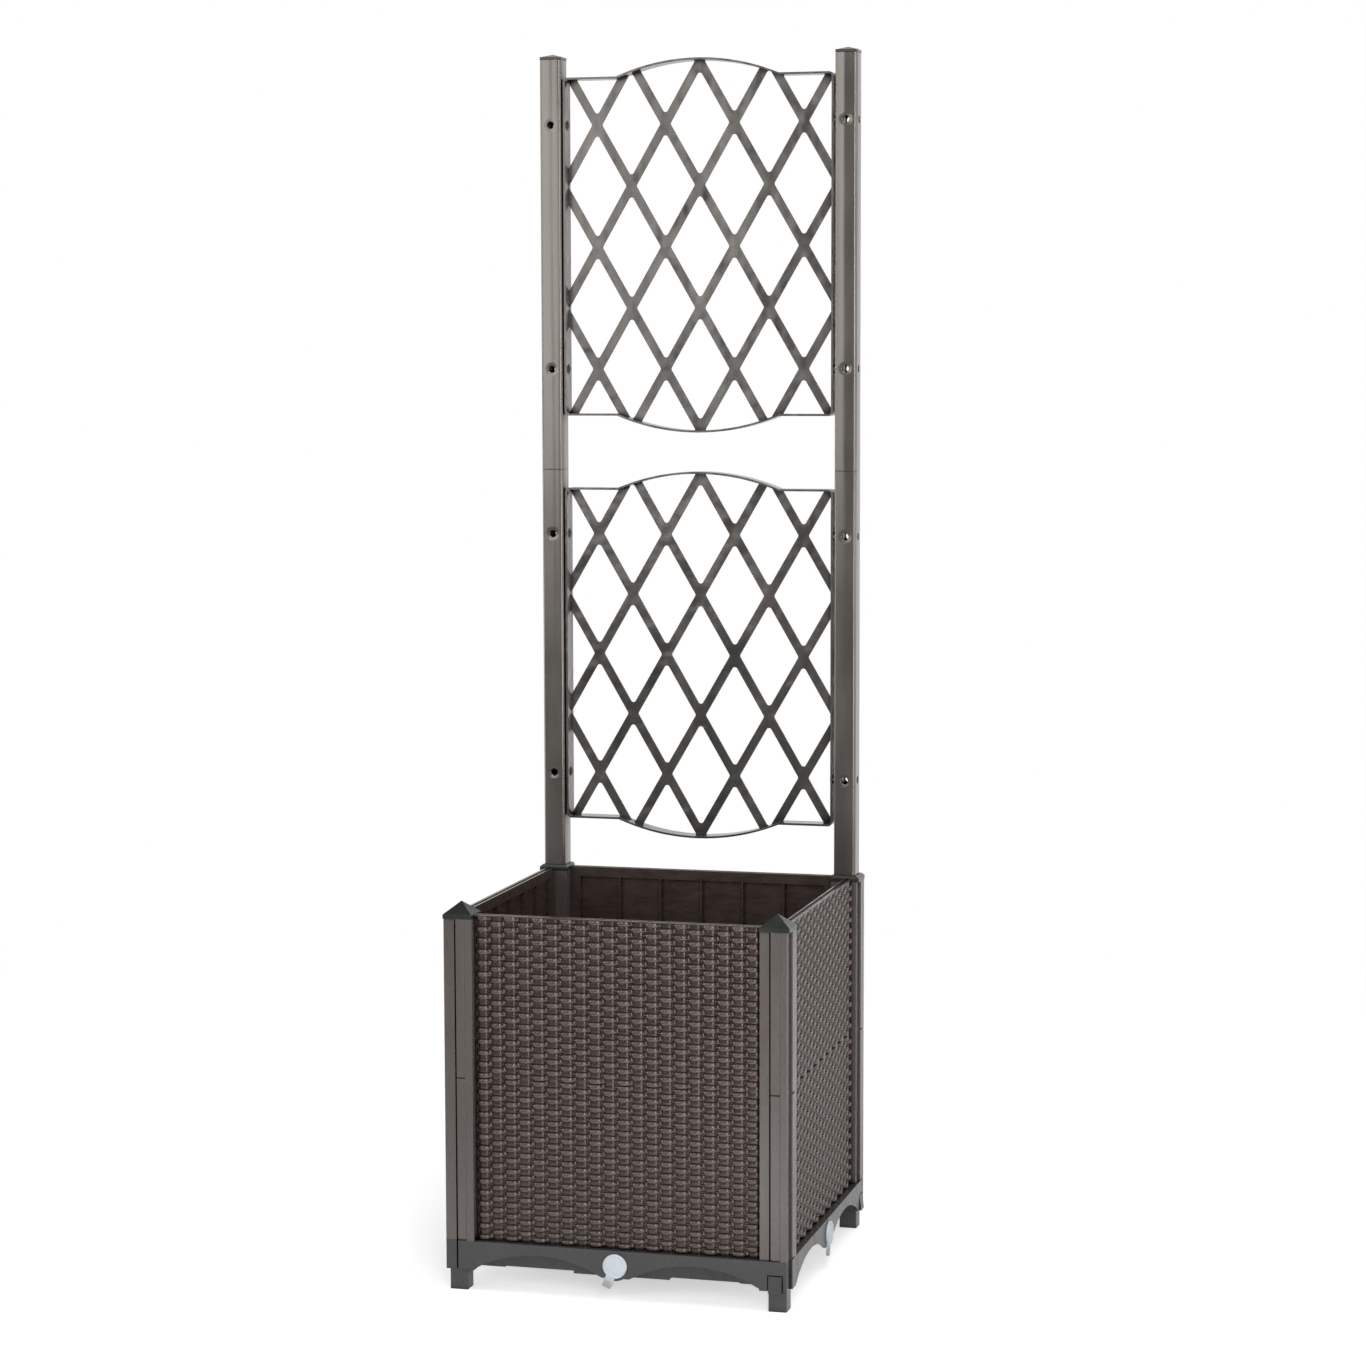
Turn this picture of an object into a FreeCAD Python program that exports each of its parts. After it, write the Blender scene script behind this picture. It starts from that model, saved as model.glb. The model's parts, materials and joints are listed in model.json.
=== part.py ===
import FreeCAD, Part
import math
import os

# Square plug-together planter with a back trellis. Millimetres, +Z up, front face towards -Y,
# origin on the floor below the middle of the box. Each side of the box is the front one turned
# a quarter about Z, so side and corner pieces are drawn once, at the front and the front left.
V = FreeCAD.Vector

# ---- box
box_side = 400.0            # outer faces of the base and posts
tier_height = 186.0         # one post section and one wicker panel
foot_height = 24.0          # floor to the underside of the base's corner blocks
base_height = 33.6          # corner blocks, underside to top
fit = 0.2                   # clearance of each plugged joint, per side
past = 1.0                  # cuts run this far past the faces they open

# ---- corner post, seen from above at the front left corner
step_back = 3.0             # narrow strips stand this far behind the wide ones
left_strip = 12.5           # narrow strip at a side's left end
left_groove = 2.7
left_reach = 34.0           # post's inner face from the corner, along the side it starts
right_land = 21.4           # wide strip at a side's right end, up to its groove
right_groove = 2.3
right_reach = 34.5          # post's inner face from the corner, along the side it ends
groove_depth = 6.5
seam_width = 0.8            # moulded seam line down the middle of each wide strip
seam_depth = 0.5
left_seam = 25.0
right_seam = 11.0
post_bore = 19.0            # square bore that takes the spigots
bore_centre = 18.5          # from both outer faces
spigot_length = 15.0
post_floor = 4.0            # web above each post's spigot
lead_in = 1.2               # chamfer at the spigots' ends
notch_height = 1.8          # relief at the foot of each post section
notch_depth = 1.5

# ---- wicker-pattern panel
panel_inset = 9.6           # valleys between the strands, from the box's outer face
strand_rise = 1.9           # crowns of the strands stand this far out
strand_rows = 29
panel_thick = 8.4
panel_skin = 2.4
panel_rail = 12.0           # solid rail round the panel's back
rib_thick = 2.4
rib_columns = 6
rib_rows = 3
tongue_mid = 13.8           # middle of the tongues and channels, from the box's outer face
channel_width = 4.0         # open channel in the panel's top edge
channel_depth = 8.0
bottom_tongue = 6.0
slot_width = 3.4            # upright slots in the posts
slot_depth = 3.0

# ---- base tray
skirt_wall = 3.0
ledge_thick = 3.0
arch_foot = 2.0             # lowest line of the skirt above the blocks' underside
arch_rise = 19.5
arch_inner = 16.0           # start of each arch from the middle of a side
tub_inset = 25.0            # reservoir's outer wall from the box's outer face
tub_wall = 3.0
tub_lift = 0.5              # reservoir's underside above the blocks' underside
channel_half = 56.0         # half width of the drain channels in the reservoir's floor
channel_drop = 3.0
pad_reach = 38.0            # square pads under the reservoir's corners
pad_drop = 1.2
rail_wall = 3.0             # walls of the rail that holds the panels' tongues
tongue_spare = 1.0          # rail's groove is this much deeper than the tongue
post_socket_depth = 16.0
drain_height = 16.3         # drain's axis above the blocks' underside
drain_bore = 6.0            # radius
drain_boss = 9.0            # radius
drain_lobe = 17.0           # radius of the round lobe in the skirt

# ---- feet
foot_side = 21.0
foot_round = 1.5
foot_centre = 14.5          # from both outer faces
foot_spigot = 12.0
foot_spigot_length = 11.0
foot_spare = 1.0            # foot's socket is this much deeper than its spigot
tab_near = 8.7              # snap tab, from the corner along the side's face
tab_far = 24.0
tab_top = 17.0              # above the blocks' underside
tab_proud = 2.0             # foot of the tab in front of the box's face
tab_thick = 2.8
tab_plate = 2.0             # lip under the block that carries the tab
tab_gap = 1.2
tab_seat_gap = 0.3

# ---- drain plugs
plug_head = 13.8            # radius
plug_rim = 1.0              # chamfer round the head's front
plug_head_thick = 3.3
plug_stem_length = 20.0
plug_running_gap = 0.08     # radial
plug_face_gap = 0.3
pull_width = 10.8
pull_reach = 26.5
pull_thick = 2.4
pull_round = 2.5
pull_turn = 23.0            # degrees from straight down, towards the left

# ---- soil grid over the reservoir
grid_thick = 3.0
grid_gap = 0.6
grid_leg = 36.0             # square hollow wicking legs
grid_leg_wall = 2.5
grid_leg_place = 130.0      # from the middle
grid_slot_length = 44.0
grid_slot_width = 6.0
grid_slot_pitch = 18.0
grid_slot_gap = 12.0        # between the slots' ends
grid_margin = 6.0           # slots to legs

# ---- caps and trellis sockets on the posts
band_height = 4.8           # upright rim
band_drop = 4.4             # rim's lower edge below the top of the tier
cap_rise = 13.5             # pyramid above the rim
cap_tip = 1.0               # flat at a pyramid's point
socket_rise = 3.0
socket_lip = 1.5            # wall round the tube at the socket's top
socket_seat = 3.2           # tube's lower end below the top of the tier
socket_spigot = 40.0        # up into the tube

# ---- trellis tubes
tube_side = 26.5
tube_wall = 1.0
tube_round = 3.0
tube_length = 491.0
tube_end_bevel = 0.5
hole_radius = 4.2
hole_from_top = 78.0
hole_spacing = 292.0
hole_dimple = 0.6
coupler_length = 80.0
coupler_wall = 1.5
coupler_round = 1.0         # inner corners
tube_cap_rim = 3.0
tube_cap_rise = 3.6
tube_cap_round = 1.5
tube_cap_step = 1.0         # pyramid's foot inside the rim
tube_cap_spigot = 12.0

# ---- lattice panels
frame_bar = 2.5             # flat bar bent on edge
frame_depth = 23.0
frame_half_height = 202.0   # to the flat shoulders
shoulder = 100.0            # the arch springs from here, either side of the middle
arch_height = 20.0
frame_round = 6.0
least_round = 0.5
sheet_thick = 1.8
sheet_back = 7.0            # sheet's rear face in front of the frame's rear edge
node_pitch = 85.0           # between crossings along a row
row_pitch = 73.0            # between rows of crossings
strip_width = 10.4
crossing_round = 3.5
least_opening = 20.0        # smaller scraps of an opening, in mm2, stay sheet

# ---- bolts and rivet nuts
nut_flange = 5.5            # radius
nut_flange_thick = 2.0      # keeps the frame off the tube
nut_body_length = 9.0
nut_fit = 0.1
bolt_radius = 2.5
bolt_fit = 0.1
bolt_head = 6.5             # radius
bolt_head_height = 2.4
bolt_crown = 1.5            # radius of the flat on top of the head
bolt_length = 13.0

# ---- places worked out from the sizes above
half = box_side / 2
base_top = foot_height + base_height
tier_tops = [base_top + tier_height, base_top + 2 * tier_height]
box_top = tier_tops[1]
band_bottom = box_top - band_drop
band_top = band_bottom + band_height
drain_z = foot_height + drain_height
panel_back = panel_inset + panel_thick
tube_centre = half - bore_centre
tube_foot = box_top - socket_seat
tube_bore = tube_side - 2 * tube_wall
lattice_half_width = tube_centre - tube_side / 2 - nut_flange_thick
frame_front = tube_centre - frame_depth / 2
spigot_side = post_bore - 2 * fit
side_names = ["front", "right", "back", "left"]
corner_names = ["front_left", "front_right", "back_right", "back_left"]


def block(x0, x1, y0, y1, z0, z1):
    return Part.makeBox(x1 - x0, y1 - y0, z1 - z0, V(x0, y0, z0))


def column(centre_x, centre_y, side, z0, z1):
    reach = side / 2
    return block(centre_x - reach, centre_x + reach, centre_y - reach, centre_y + reach, z0, z1)


def outline_solid(points, travel):
    wire = Part.makePolygon(points + [points[0]])
    return Part.Face(wire).extrude(travel)


def quarter_turn(shape, count):
    turned = shape.copy()
    turned.rotate(V(0, 0, 0), V(0, 0, 1), 90 * count)
    return turned


def rounded_column(centre_x, centre_y, side, radius, z0, z1):
    shape = column(centre_x, centre_y, side, z0, z1)
    upright = [e for e in shape.Edges if abs(e.Vertexes[0].Z - e.Vertexes[1].Z) > 0.5 * (z1 - z0)]
    return shape.makeFillet(radius, upright)


def frustum(low, z0, high, z1):
    # low and high are (x0, x1, y0, y1) of the two level ends
    rings = []
    for (x0, x1, y0, y1), z in ((low, z0), (high, z1)):
        rings.append([V(x0, y0, z), V(x1, y0, z), V(x1, y1, z), V(x0, y1, z)])
    lower, upper = rings
    loops = [lower[::-1], upper]
    loops += [[lower[i - 1], lower[i], upper[i], upper[i - 1]] for i in range(4)]
    return Part.makeSolid(Part.makeShell([Part.Face(Part.makePolygon(ring + ring[:1])) for ring in loops]))


def square_spigot(centre, side, z_tip, z_root):
    # lead-in at the lower end
    reach = side / 2
    full = (centre - reach, centre + reach, centre - reach, centre + reach)
    tip = (full[0] + lead_in, full[1] - lead_in, full[2] + lead_in, full[3] - lead_in)
    return frustum(tip, z_tip, full, z_tip + lead_in).fuse(
        column(centre, centre, side, z_tip + lead_in, z_root))


def seam(along, outward):
    # three points of a shallow V across the seam line
    near, far = along - seam_width / 2, along + seam_width / 2
    if outward:
        return [(near, 0), (along, seam_depth), (far, 0)]
    return [(0, far), (seam_depth, along), (0, near)]


def corner_points(post):
    # round the front left corner, as distances from the two outer faces
    groove_end = left_strip + left_groove
    plan = [(0, step_back), (left_strip, step_back), (left_strip, groove_depth),
            (groove_end, groove_depth), (groove_end, 0)]
    if post:
        plan += seam(left_seam, True)
    plan += [(left_reach, 0), (left_reach, right_reach)]
    if post:
        second = right_land + right_groove
        plan += [(step_back, right_reach), (step_back, second), (groove_depth, second),
                 (groove_depth, right_land), (0, right_land)] + seam(right_seam, False)
    else:
        plan += [(0, right_reach)]
    return plan


def corner_prism(post, z0, z1):
    points = [V(a - half, b - half, z0) for a, b in corner_points(post)]
    return outline_solid(points, V(0, 0, z1 - z0))


def post_section(z0, z1):
    centre = bore_centre - half
    shape = corner_prism(True, z0, z1)
    shape = shape.cut(column(centre, centre, post_bore, z0 + post_floor, z1))
    slot_near, slot_far = tongue_mid - slot_width / 2 - half, tongue_mid + slot_width / 2 - half
    slot_a = block(left_reach - slot_depth - half, left_reach - half, slot_near, slot_far, z0, z1)
    slot_b = block(slot_near, slot_far, right_reach - slot_depth - half, right_reach - half, z0, z1)
    notch_a = block(left_strip + left_groove - half, left_seam - half, -half, notch_depth - half,
                    z0, z0 + notch_height)
    notch_b = block(-half, notch_depth - half, right_seam - half, right_land - half,
                    z0, z0 + notch_height)
    shape = shape.cut([slot_a, slot_b, notch_a, notch_b])
    return shape.fuse(square_spigot(centre, spigot_side, z0 - spigot_length, z0)).removeSplitter()


def cap_plan():
    return (-half, left_reach - half, -half, right_reach - half)


def post_cap():
    x0, x1, y0, y1 = cap_plan()
    mid_x, mid_y, tip = (x0 + x1) / 2, (y0 + y1) / 2, cap_tip / 2
    shape = block(x0, x1, y0, y1, band_bottom, band_top)
    point = (mid_x - tip, mid_x + tip, mid_y - tip, mid_y + tip)
    shape = shape.fuse(frustum(cap_plan(), band_top, point, band_top + cap_rise))
    centre = bore_centre - half
    peg = square_spigot(centre, spigot_side, band_bottom - spigot_length, band_bottom)
    return shape.fuse(peg).removeSplitter()


def post_socket():
    # carries a trellis tube over the post's bore
    centre = bore_centre - half
    reach = tube_side / 2 + fit + socket_lip
    top = (centre - reach, centre + reach, centre - reach, centre + reach)
    x0, x1, y0, y1 = cap_plan()
    shape = block(x0, x1, y0, y1, band_bottom, band_top)
    shape = shape.fuse(frustum(cap_plan(), band_top, top, band_top + socket_rise))
    mouth = rounded_column(centre, centre, tube_side + 2 * fit, tube_round + fit,
                           tube_foot, band_top + socket_rise + past)
    shape = shape.cut(mouth)
    shape = shape.fuse(rounded_column(centre, centre, tube_bore - 2 * fit, tube_round - tube_wall,
                                      tube_foot - past, tube_foot + socket_spigot))
    peg = square_spigot(centre, spigot_side, band_bottom - spigot_length, band_bottom)
    return shape.fuse(peg).removeSplitter()


def foot():
    centre = foot_centre - half
    peg = rounded_column(centre, centre, foot_side, foot_round, 0, foot_height)
    spigot = column(centre, centre, foot_spigot, foot_height, foot_height + foot_spigot_length)
    low, top = foot_height - tab_plate, foot_height + tab_top
    front, back, near = -tab_proud - half, tab_thick - half, tab_near - half
    wedge = [V(front, near, low), V(front, near, foot_height), V(-half, near, top),
             V(back, near, top), V(back, near, low)]
    tab = outline_solid(wedge, V(0, tab_far - tab_near, 0))
    lip = block(back, centre, near, tab_far - half, low, foot_height)
    return peg.fuse([spigot, tab, lip]).removeSplitter()


def arch_cut(mirror):
    # circular segment under one arch of the front skirt
    z_low = foot_height + arch_foot
    outer = half - max(left_reach, right_reach)
    middle = (arch_inner + outer) / 2
    front, below = -half - past, foot_height - past
    ends = [V(mirror * s, front, z) for s, z in
            ((arch_inner, z_low), (middle, z_low + arch_rise), (outer, z_low))]
    arc = Part.Arc(*ends).toShape()
    floor = Part.makePolygon([ends[2], V(mirror * outer, front, below),
                              V(mirror * arch_inner, front, below), ends[0]])
    return Part.Face(Part.Wire([arc] + floor.Edges)).extrude(V(0, skirt_wall + 2 * past, 0))


def drain_cylinder(radius, t0, t1):
    return Part.makeCylinder(radius, t1 - t0, V(0, t0 - half, drain_z), V(0, 1, 0))


def skirt_side():
    # skirt, tongue rail and drain boss of the front side
    low = foot_height + arch_foot
    edge = half - left_reach
    skirt = block(-edge, half - right_reach, -half, skirt_wall - half, low, base_top)
    skirt = skirt.cut([arch_cut(1), arch_cut(-1)])
    lobe = drain_cylinder(drain_lobe, 0, skirt_wall)
    boss = drain_cylinder(drain_boss, 0, tub_inset + tub_wall)
    rail_half = channel_width / 2 + rail_wall
    rail = block(-edge, half - right_reach, tongue_mid - rail_half - half, tongue_mid + rail_half - half,
                 base_top - bottom_tongue - tongue_spare - rail_wall, base_top)
    return skirt.fuse([lobe, boss, rail])


def side_cuts():
    # drain bore and tongue groove of the front side
    bore = drain_cylinder(drain_bore, -past, tub_inset + tub_wall + past)
    groove = block(left_reach - half, half - right_reach, tongue_mid - channel_width / 2 - half,
                   tongue_mid + channel_width / 2 - half, base_top - bottom_tongue - tongue_spare,
                   base_top + past)
    return [bore, groove]


def corner_cuts():
    # sockets for the post and the foot, and the recess round the foot's snap tab
    centre = bore_centre - half
    post_hole = column(centre, centre, post_bore, base_top - post_socket_depth, base_top + past)
    low = foot_centre - half
    foot_hole = column(low, low, foot_spigot + 2 * fit, foot_height - past,
                       foot_height + foot_spigot_length + foot_spare)
    recess = block(-half - past, tab_thick + tab_seat_gap - half, tab_near - tab_gap - half,
                   tab_far + tab_gap - half, foot_height - past, foot_height + tab_top + tab_gap)
    return [post_hole, foot_hole, recess]


def base_tray():
    tub = half - tub_inset
    inside = tub - tub_wall
    low = foot_height + tub_lift
    shape = block(-tub, tub, -tub, tub, low, base_top)
    cross = [block(-channel_half, channel_half, -tub, tub, low - channel_drop, low),
             block(-tub, tub, -channel_half, channel_half, low - channel_drop, low)]
    pad = block(-tub, pad_reach - tub, -tub, pad_reach - tub, low - pad_drop, low)
    edge = half - skirt_wall
    ledge = block(-edge, edge, -edge, edge, base_top - ledge_thick, base_top)
    corner = block(-half, left_reach - half, -half, right_reach - half, 0, base_top + past)
    ledge = ledge.cut([quarter_turn(corner, n) for n in range(4)])
    shape = shape.fuse(cross + [quarter_turn(pad, n) for n in range(4)] + [ledge])
    groove = channel_half - tub_wall
    shape = shape.cut([block(-inside, inside, -inside, inside, low + tub_wall, base_top + past),
                       block(-groove, groove, -inside, inside, low + tub_wall - channel_drop, base_top),
                       block(-inside, inside, -groove, groove, low + tub_wall - channel_drop, base_top)])
    side, corner = skirt_side(), corner_prism(False, foot_height, base_top)
    shape = shape.fuse([quarter_turn(piece, n) for n in range(4) for piece in (side, corner)])
    holes = side_cuts() + corner_cuts()
    return shape.cut([quarter_turn(hole, n) for n in range(4) for hole in holes]).removeSplitter()


def drain_plug():
    # disc with a bevelled rim, a stem in the drain's bore and a hanging pull tab
    back = -plug_face_gap
    head = drain_cylinder(plug_head, back - plug_head_thick, back)
    front_rim = [e for e in head.Edges if e.BoundBox.YMax < back - plug_head_thick / 2 - half]
    head = head.makeChamfer(plug_rim, front_rim)
    stem = drain_cylinder(drain_bore - plug_running_gap, back, plug_stem_length)
    pull = block(-pull_width / 2, pull_width / 2, back - pull_thick - half, back - half,
                 drain_z - pull_reach, drain_z)
    ends = [e for e in pull.Edges if abs(e.CenterOfMass.z - (drain_z - pull_reach)) < 0.01
            and abs(e.Vertexes[0].Y - e.Vertexes[1].Y) > 1]
    pull = pull.makeFillet(pull_round, ends)
    pull.rotate(V(0, -half, drain_z), V(0, 1, 0), pull_turn)
    return head.fuse([stem, pull]).removeSplitter()


def soil_grid():
    # slotted plate on the base's ledge with hollow wicking legs in the reservoir
    reach = half - panel_back - grid_gap
    notch = half - max(left_reach, right_reach) - grid_gap
    top = base_top + grid_thick
    plate = block(-reach, reach, -notch, notch, base_top, top)
    plate = plate.fuse(block(-notch, notch, -reach, reach, base_top, top))
    floor = foot_height + tub_lift + tub_wall
    places = [(a * grid_leg_place, b * grid_leg_place) for a in (-1, 1) for b in (-1, 1)]
    legs = [column(x, y, grid_leg, floor, base_top) for x, y in places]
    wells = [column(x, y, grid_leg - 2 * grid_leg_wall, floor + grid_leg_wall, top + past) for x, y in places]
    slots = []
    clear = grid_leg_place - grid_leg / 2 - grid_margin
    rows = int(clear // grid_slot_pitch)
    reach_x, reach_y = grid_slot_length / 2, grid_slot_width / 2
    for row in range(-rows, rows + 1):
        for place in (-1, 0, 1):
            x, y = place * (grid_slot_length + grid_slot_gap), row * grid_slot_pitch
            slots.append(block(x - reach_x, x + reach_x, y - reach_y, y + reach_y,
                               base_top - past, top + past))
    return plate.fuse(legs).cut(wells + slots).removeSplitter()


def wicker_panel(z0):
    z1 = z0 + tier_height
    left, right = left_reach + fit - half, half - right_reach - fit
    valley, back = panel_inset - half, panel_back - half
    strand = tier_height / strand_rows
    corners = [V(left, valley, z0), V(left, back, z0), V(left, back, z1), V(left, valley, z1)]
    edges = Part.makePolygon(corners).Edges
    for row in range(strand_rows):
        low = z0 + row * strand
        crest = V(left, valley - strand_rise, low + strand / 2)
        edges.append(Part.Arc(V(left, valley, low), crest, V(left, valley, low + strand)).toShape())
    shape = Part.Face(Part.Wire(Part.__sortEdges__(edges))).extrude(V(right - left, 0, 0))
    pocket_x = (right - left - 2 * panel_rail - (rib_columns - 1) * rib_thick) / rib_columns
    pocket_z = (tier_height - 2 * panel_rail - (rib_rows - 1) * rib_thick) / rib_rows
    cuts = [block(left, right, tongue_mid - channel_width / 2 - half, tongue_mid + channel_width / 2 - half,
                  z1 - channel_depth, z1 + past)]
    for i in range(rib_columns):
        for k in range(rib_rows):
            x = left + panel_rail + i * (pocket_x + rib_thick)
            z = z0 + panel_rail + k * (pocket_z + rib_thick)
            cuts.append(block(x, x + pocket_x, valley + panel_skin, back + past, z, z + pocket_z))
    tongue = channel_width / 2 - fit
    key = slot_width / 2 - fit
    key_near, key_far, key_top = tongue_mid - key - half, tongue_mid + key - half, z1 - channel_depth
    tongue_near, tongue_far = tongue_mid - tongue - half, tongue_mid + tongue - half
    keys = [block(left, right, tongue_near, tongue_far, z0 - bottom_tongue, z0),
            block(left - slot_depth, left, key_near, key_far, z0, key_top),
            block(right, right + slot_depth, key_near, key_far, z0, key_top)]
    return shape.cut(cuts).fuse(keys).removeSplitter()


def cross_holes(radius, depth_from, depth_to, z):
    # round holes through all four walls of a tube on the Z axis
    holes = []
    for count in range(4):
        hole = Part.makeCylinder(radius, depth_to - depth_from, V(0, -depth_to, z), V(0, 1, 0))
        holes.append(quarter_turn(hole, count))
    return holes


def trellis_tube(z0):
    z1 = z0 + tube_length
    outer = rounded_column(0, 0, tube_side, tube_round, z0, z1)
    rims = [e for e in outer.Edges if e.BoundBox.ZLength < 0.01]
    outer = outer.makeChamfer(tube_end_bevel, rims)
    shape = outer.cut(rounded_column(0, 0, tube_bore, tube_round - tube_wall, z0 - past, z1 + past))
    face = tube_side / 2
    for z in hole_heights(z0):
        shape = shape.cut(cross_holes(hole_radius, face - 2 * tube_wall, face + past, z))
        for count in range(4):
            dimple = Part.makeCone(hole_radius, hole_radius + hole_dimple, hole_dimple,
                                   V(0, -face + hole_dimple, z), V(0, -1, 0))
            shape = shape.cut(quarter_turn(dimple, count))
    return shape


def hole_heights(z0):
    top = z0 + tube_length - hole_from_top
    return [top, top - hole_spacing]


def tube_coupler():
    joint = tube_foot + tube_length
    side = tube_bore - 2 * fit
    z0, z1 = joint - coupler_length / 2, joint + coupler_length / 2
    bore = rounded_column(0, 0, side - 2 * coupler_wall, coupler_round, z0 - past, z1 + past)
    return rounded_column(0, 0, side, tube_round - tube_wall, z0, z1).cut(bore)


def tube_cap():
    top = tube_foot + 2 * tube_length
    reach, tip = tube_side / 2, cap_tip / 2
    plug = rounded_column(0, 0, tube_bore - 2 * fit, tube_round - tube_wall, top - tube_cap_spigot, top)
    rim = block(-reach, reach, -reach, reach, top, top + tube_cap_rim)
    upright = [e for e in rim.Edges if e.BoundBox.ZLength > tube_cap_rim / 2]
    rim = rim.makeFillet(tube_cap_round, upright)
    edge = reach - tube_cap_step
    lid = frustum((-edge, edge, -edge, edge), top + tube_cap_rim,
                  (-tip, tip, -tip, tip), top + tube_cap_rim + tube_cap_rise)
    return rim.fuse([plug, lid]).removeSplitter()


def to_tube(shape, hand):
    placed = shape.copy()
    placed.translate(V(hand * tube_centre, tube_centre, 0))
    return placed


def lattice_outline(inset, y, centre_z):
    # arched outline with square shoulders, one wire in a level of Y
    side, flat = lattice_half_width - inset, frame_half_height - inset
    crown, bend = flat + arch_height, max(frame_round - inset, least_round)
    bevel = bend * math.sqrt(0.5)

    def at(x, z):
        return V(x, y, centre_z + z)

    def bow(sign):
        return Part.Arc(at(-shoulder, sign * flat), at(0, sign * crown), at(shoulder, sign * flat))

    def corner(sx, sz):
        mid = bend - bevel
        return Part.Arc(at(sx * side, sz * (flat - bend)), at(sx * (side - mid), sz * (flat - mid)),
                        at(sx * (side - bend), sz * flat))

    edges = [bow(1).toShape(), bow(-1).toShape()]
    for sx in (1, -1):
        edges.append(Part.makeLine(at(sx * side, bend - flat), at(sx * side, flat - bend)))
        for sz in (1, -1):
            edges.append(corner(sx, sz).toShape())
            edges.append(Part.makeLine(at(sx * (side - bend), sz * flat), at(sx * shoulder, sz * flat)))
    return Part.Wire(Part.__sortEdges__(edges))


def diamond(x, z, y):
    # one opening of the lattice with rounded corners
    half_x, half_z = node_pitch / 2, row_pitch
    slant = math.hypot(half_x, half_z)
    share = 1 - (strip_width / 2) * slant / (half_x * half_z)
    tips = [V(x + share * half_x, y, z), V(x, y, z + share * half_z),
            V(x - share * half_x, y, z), V(x, y, z - share * half_z)]
    bends = []
    for i, tip in enumerate(tips):
        before, after = tips[i - 1], tips[(i + 1) % 4]
        to_before, to_after = (before - tip).normalize(), (after - tip).normalize()
        half_angle = to_before.getAngle(to_after) / 2
        run = crossing_round / math.tan(half_angle)
        start, end = tip + to_before * run, tip + to_after * run
        bisector = (to_before + to_after).normalize()
        middle = tip + bisector * (crossing_round / math.sin(half_angle) - crossing_round)
        bends.append((start, middle, end))
    edges = []
    for i, (start, middle, end) in enumerate(bends):
        edges.append(Part.Arc(start, middle, end).toShape())
        edges.append(Part.makeLine(end, bends[(i + 1) % 4][0]))
    return Part.Face(Part.Wire(edges))


def lattice_panel(centre_z):
    # bent flat-bar frame with a pressed diamond sheet welded in near its rear edge
    rear = frame_front + frame_depth
    outer = Part.Face(lattice_outline(0, frame_front, centre_z)).extrude(V(0, frame_depth, 0))
    hollow = V(0, frame_depth + 2 * past, 0)
    inner = Part.Face(lattice_outline(frame_bar, frame_front - past, centre_z)).extrude(hollow)
    frame = outer.cut(inner)
    y = rear - sheet_back - sheet_thick
    field = Part.Face(lattice_outline(frame_bar, y, centre_z))
    rows = int((frame_half_height + arch_height) // row_pitch) + 1
    columns = int(lattice_half_width // (node_pitch / 2)) + 1
    openings = [diamond(i * node_pitch / 2, centre_z + k * row_pitch, y).common(field)
                for k in range(-rows, rows + 1) for i in range(-columns, columns + 1) if (i + k) % 2 == 0]
    sheet = field.cut([hole for hole in openings if hole.Area > least_opening]).extrude(V(0, sheet_thick, 0))
    bolt_holes = []
    for hand in (-1, 1):
        for dz in (-hole_spacing / 2, hole_spacing / 2):
            start = V(hand * lattice_half_width - 2 * frame_bar, tube_centre, centre_z + dz)
            bolt_holes.append(Part.makeCylinder(bolt_radius + 2 * bolt_fit, 4 * frame_bar, start, V(1, 0, 0)))
    return frame.fuse(sheet).cut(bolt_holes).removeSplitter()


def fastener_places():
    return [(hand, z) for hand in (-1, 1) for z0 in (tube_foot, tube_foot + tube_length)
            for z in hole_heights(z0)]


def lattice_bolt():
    # low round head on the frame's inner face, shank towards +X, turned in one profile
    seat, crown = -frame_bar, -frame_bar - bolt_head_height
    tip = seat + bolt_length
    drop = (bolt_head ** 2 - bolt_crown ** 2 - bolt_head_height ** 2) / (2 * bolt_head_height)
    radius = math.hypot(bolt_head, drop)
    middle = (math.atan2(bolt_head, drop) + math.atan2(bolt_crown, drop + bolt_head_height)) / 2
    on_dome = V(seat + drop - radius * math.cos(middle), radius * math.sin(middle), 0)
    dome = Part.Arc(V(seat, bolt_head, 0), on_dome, V(crown, bolt_crown, 0)).toShape()
    rest = Part.makePolygon([V(crown, bolt_crown, 0), V(crown, 0, 0), V(tip, 0, 0), V(tip, bolt_radius, 0),
                             V(seat, bolt_radius, 0), V(seat, bolt_head, 0)])
    return Part.Face(Part.Wire([dome] + rest.Edges)).revolve(V(0, 0, 0), V(1, 0, 0), 360)


def rivet_nut():
    start, along = V(0, 0, 0), V(1, 0, 0)
    length = nut_flange_thick + nut_body_length
    flange = Part.makeCylinder(nut_flange, nut_flange_thick, start, along)
    body = Part.makeCylinder(hole_radius - nut_fit, length, start, along)
    bore = Part.makeCylinder(bolt_radius + bolt_fit, length + 2 * past, V(-past, 0, 0), along)
    return flange.fuse(body).cut(bore).removeSplitter()


def at_fasteners(shape):
    # one copy on each side bar at every pair of tube holes, pointing into the tube
    copies = []
    for hand, z in fastener_places():
        copy = shape.copy()
        if hand < 0:
            copy.rotate(V(0, 0, 0), V(0, 0, 1), 180)
        copy.translate(V(hand * lattice_half_width, tube_centre, z))
        copies.append(copy)
    return Part.makeCompound(copies)


def export(name, shape):
    shape.exportStep(os.path.join("parts", name + ".step"))
    print(name, len(shape.Solids), "solid,", round(shape.Volume / 1000, 1), "cm3", shape.isValid())


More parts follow.
